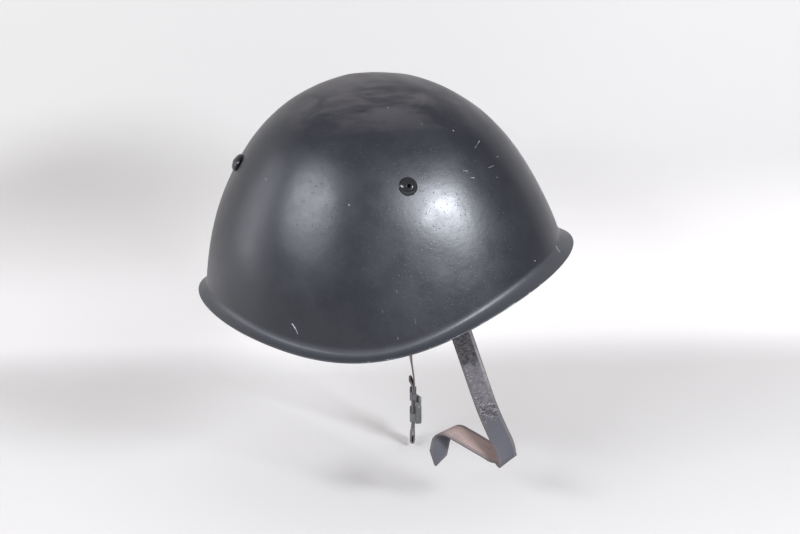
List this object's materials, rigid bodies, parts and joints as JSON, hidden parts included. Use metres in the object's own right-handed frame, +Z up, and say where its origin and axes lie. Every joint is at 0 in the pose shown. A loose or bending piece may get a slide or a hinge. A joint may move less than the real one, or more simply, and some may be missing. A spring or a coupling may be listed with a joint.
{
  "type": "parade helmet",
  "caption": "Steel parade helmet with flared rim, domed vent rivets, laced leather liner and a leather chin strap in two parts with buckle.",
  "frame": {"origin": "centre of the head opening, level with the lowest stretch of the line where the shell's flare starts", "axes": "+X to the front of the helmet, +Y to the wearer's left, +Z up to the crown"},
  "size_m": [0.2864, 0.233, 0.3277],
  "materials": {
    "shell_paint": "worn dark slate grey semi-gloss paint",
    "rivet_black": "near-black gloss",
    "plain_steel": "dull plated",
    "hoop_paint": "dark olive grey, matt",
    "felt": "pressed grey felt",
    "liner_leather": "brown, worn",
    "lace_cord": "waxed linen cord",
    "dark_wire": "blackened steel wire",
    "strap_leather": "blue-grey, cracked and scuffed",
    "strap_brass": "tarnished",
    "buckle_steel": "pale grey-green, worn"
  },
  "bodies": {
    "helmet": {"shell": "shell_paint", "vent_rivet_rear": "rivet_black", "vent_rivet_right": "rivet_black", "vent_rivet_left": "rivet_black", "rivet_washers": "plain_steel", "hanger_rear": "hoop_paint", "hanger_right": "hoop_paint", "hanger_left": "hoop_paint", "hanger_rivets": "plain_steel", "liner_hoop": "hoop_paint", "felt_strip": "felt", "sweatband": "liner_leather", "tongue_1": "liner_leather", "tongue_2": "liner_leather", "tongue_3": "liner_leather", "tongue_4": "liner_leather", "tongue_5": "liner_leather", "tongue_6": "liner_leather", "tongue_7": "liner_leather", "tongue_8": "liner_leather", "crown_lace": "lace_cord", "lace_knot": "lace_cord", "bracket_right": "hoop_paint", "bracket_left": "hoop_paint", "bracket_rivets": "plain_steel"},
    "loop_right": {"wire_loop_right": "dark_wire"},
    "loop_left": {"wire_loop_left": "dark_wire"},
    "right_strap": {"strap_right": "strap_leather", "strap_rivet_right": "strap_brass"},
    "left_strap": {"strap_left": "strap_leather", "strap_rivet_left": "strap_brass"},
    "keeper_loop": {"keeper": "strap_leather"},
    "buckle": {"buckle_frame": "buckle_steel", "clamp_pin": "plain_steel"},
    "clamp": {"clamp_plate": "buckle_steel"}
  },
  "joints": [
    {"name": "right_loop_swing", "type": "hinge", "parent": "helmet", "child": "loop_right", "pos_m": [0.05929, -0.07885, 0.054], "axis": [0.9362, 0.3514, 0], "range_deg": [-4, 10]},
    {"name": "left_loop_swing", "type": "hinge", "parent": "helmet", "child": "loop_left", "pos_m": [0.05929, 0.07885, 0.054], "axis": [-0.9362, 0.3514, 0], "range_deg": [-4, 10]},
    {"name": "right_strap_swing", "type": "hinge", "parent": "loop_right", "child": "right_strap", "pos_m": [0.05929, -0.07885, 0.0426], "axis": [0.9362, 0.3514, 0], "range_deg": [-8, 18]},
    {"name": "left_strap_swing", "type": "hinge", "parent": "loop_left", "child": "left_strap", "pos_m": [0.05929, 0.07885, 0.0426], "axis": [-0.9362, 0.3514, 0], "range_deg": [-8, 18]},
    {"name": "keeper_slide", "type": "slide", "parent": "left_strap", "child": "keeper_loop", "axis": [0, 0, 1], "range_m": [0, 0.003]},
    {"name": "buckle_slide", "type": "slide", "parent": "left_strap", "child": "buckle", "axis": [0, 0, 1], "range_m": [-0.01, 0]},
    {"name": "clamp_hinge", "type": "hinge", "parent": "buckle", "child": "clamp", "pos_m": [0.05406, 0.0796, -0.1177], "axis": [-0.0993, -0.9951, 0], "range_deg": [0, 75]}
  ]
}
